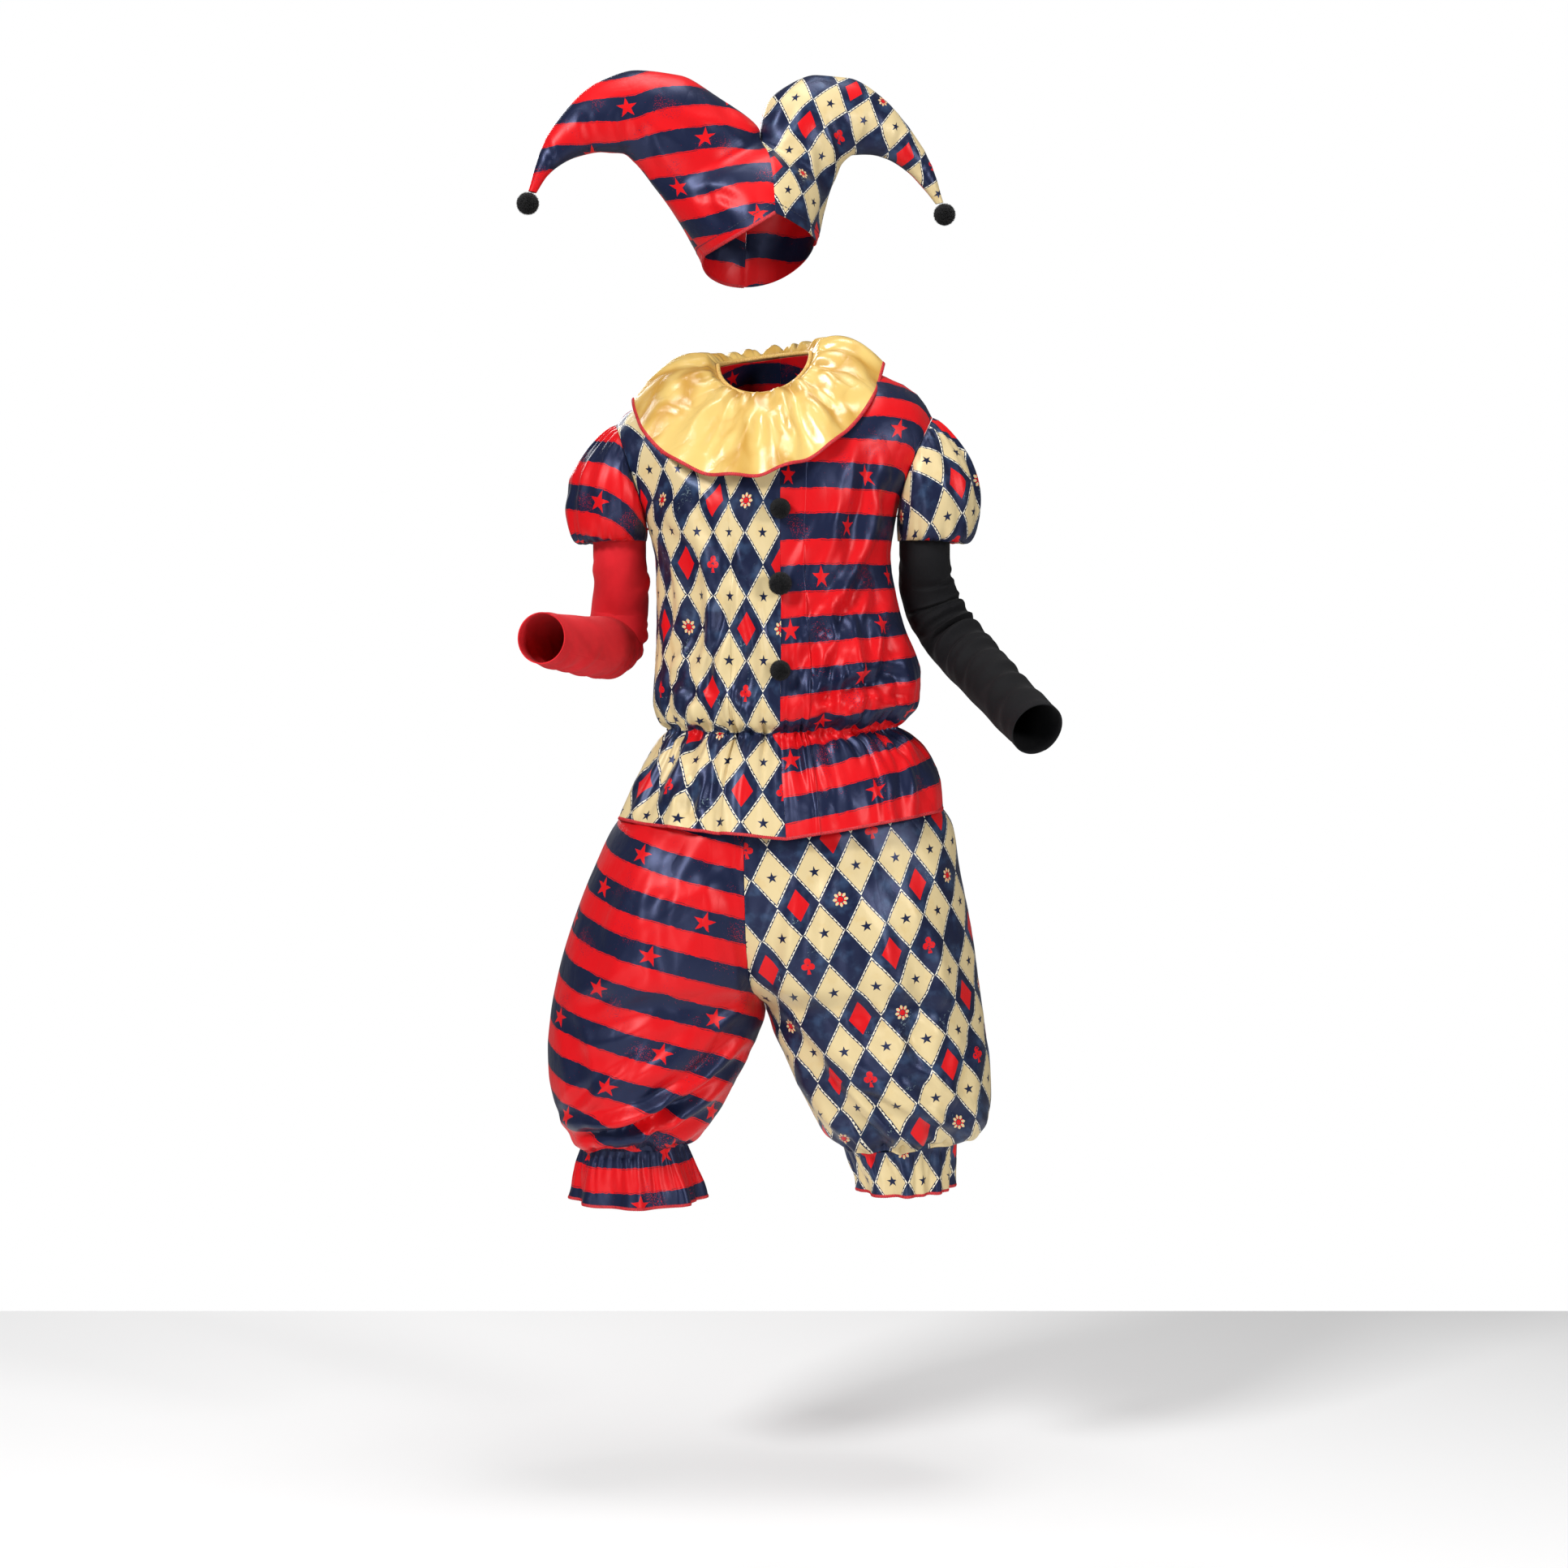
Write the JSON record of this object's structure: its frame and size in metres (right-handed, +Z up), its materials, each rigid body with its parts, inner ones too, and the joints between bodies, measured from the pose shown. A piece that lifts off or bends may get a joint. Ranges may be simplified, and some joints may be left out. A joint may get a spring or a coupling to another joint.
{
  "type": "jester costume",
  "caption": "Worn jester costume with no wearer: two-horned hat, gathered ruff, peplum top with puff and long sleeves, and frilled bloomers, in striped and lozenge satin.",
  "frame": {"origin": "between the shoulders, where the neck comes out of the ruff and the top hangs on the wearer", "axes": "+Z up, the front of the costume looks along -Y, +X is to the viewer's right"},
  "size_m": [0.7332, 0.3549, 1.5476],
  "materials": {
    "striped_satin": "polyester satin printed with red and navy stripes and red stars",
    "lozenge_satin": "polyester satin printed with cream, navy and red lozenges",
    "gold_satin": "glossy gold satin with a red overlocked edge",
    "red_knit": "matt red jersey",
    "black_knit": "matt black jersey",
    "black_pompom": "fluffy black yarn pompom"
  },
  "bodies": {
    "root": {"hat_front_left": "striped_satin", "hat_front_right": "lozenge_satin", "hat_back_left": "striped_satin", "hat_back_right": "striped_satin", "hat_pompom_left": "black_pompom", "hat_pompom_right": "black_pompom", "ruff_collar": "gold_satin", "neck_binding": "gold_satin", "top_front_left": "lozenge_satin", "top_front_right": "striped_satin", "top_back_left": "striped_satin", "top_back_right": "striped_satin", "puff_sleeve_left": "striped_satin", "puff_sleeve_right": "lozenge_satin", "under_sleeve_left": "red_knit", "under_sleeve_right": "black_knit", "pompom_button_1": "black_pompom", "pompom_button_2": "black_pompom", "pompom_button_3": "black_pompom", "leg_front_left": "striped_satin", "leg_front_right": "lozenge_satin", "leg_back_left": "striped_satin", "leg_back_right": "striped_satin", "knee_frill_left": "striped_satin", "knee_frill_right": "lozenge_satin"}
  },
  "joints": []
}
